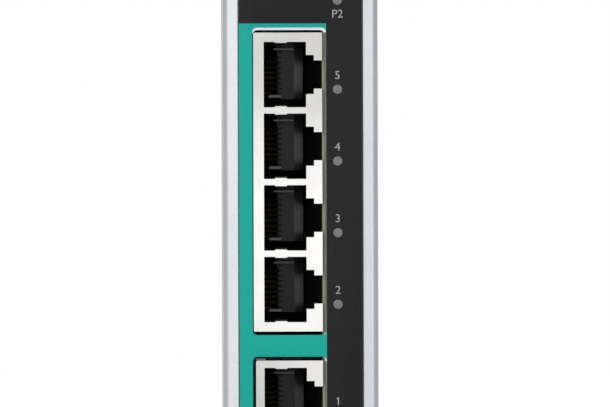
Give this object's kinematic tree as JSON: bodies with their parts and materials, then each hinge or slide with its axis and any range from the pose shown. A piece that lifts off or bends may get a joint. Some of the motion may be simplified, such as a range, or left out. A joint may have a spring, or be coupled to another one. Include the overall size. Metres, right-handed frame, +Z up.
{
  "type": "din rail ethernet switch",
  "caption": "Slim upright network switch in a folded aluminium case, with shielded RJ45 jacks down its front, a screw terminal plug on top and a sprung DIN rail clip behind.",
  "frame": {"origin": "centre of the overall footprint, on the plane that the case stands on", "axes": "+X to the right seen from the front, +Y from the jacks towards the rail clip, +Z up"},
  "size_m": [0.0302, 0.0784, 0.1251],
  "materials": {
    "case_aluminium": "satin",
    "label_film": "matte",
    "screw_steel": "satin",
    "tinned_steel": "bright",
    "jack_plastic": "matte",
    "contact_gold": "bright",
    "board_laminate": "satin",
    "standoff_brass": "satin",
    "component_epoxy": "matte",
    "component_metal": "satin",
    "clear_acrylic": "gloss",
    "led_resin": "gloss",
    "terminal_plastic": "satin",
    "clip_aluminium": "satin",
    "latch_plastic": "satin",
    "spring_steel": "satin"
  },
  "bodies": {
    "switch": {"board_screws": "screw_steel", "board_standoffs": "standoff_brass", "clip_nuts": "screw_steel", "clip_screws": "screw_steel", "cover_screws": "screw_steel", "crystal": "component_metal", "din_clip": "clip_aluminium", "earth_screw": "screw_steel", "earth_washer": "screw_steel", "filter_capacitors": "component_metal", "front_label": "label_film", "header_pins": "tinned_steel", "input_diodes": "component_epoxy", "input_fuse": "component_epoxy", "latch_spring": "spring_steel", "left_cover": "case_aluminium", "light_pipe": "clear_acrylic", "magnetics_modules": "component_epoxy", "main_board": "board_laminate", "main_case": "case_aluminium", "power_inductor": "component_epoxy", "quad_jack_contacts": "contact_gold", "quad_jack_housing": "jack_plastic", "quad_jack_shield": "tinned_steel", "right_cover": "case_aluminium", "single_jack_contacts": "contact_gold", "single_jack_housing": "jack_plastic", "single_jack_shield": "tinned_steel", "status_leds": "led_resin", "switch_chip": "component_epoxy", "terminal_clamps": "component_metal", "terminal_header": "terminal_plastic", "terminal_plug": "terminal_plastic", "terminal_screws": "screw_steel", "voltage_regulator": "component_epoxy"},
    "latch": {"din_latch": "latch_plastic"}
  },
  "joints": [
    {"name": "latch_slide", "type": "slide", "parent": "switch", "child": "latch", "axis": [0, 0, 1], "range_m": [-0.003, 0], "stiffness_N_per_m": 300, "springref_m": 0.004, "deforming": ["latch_spring"]}
  ]
}
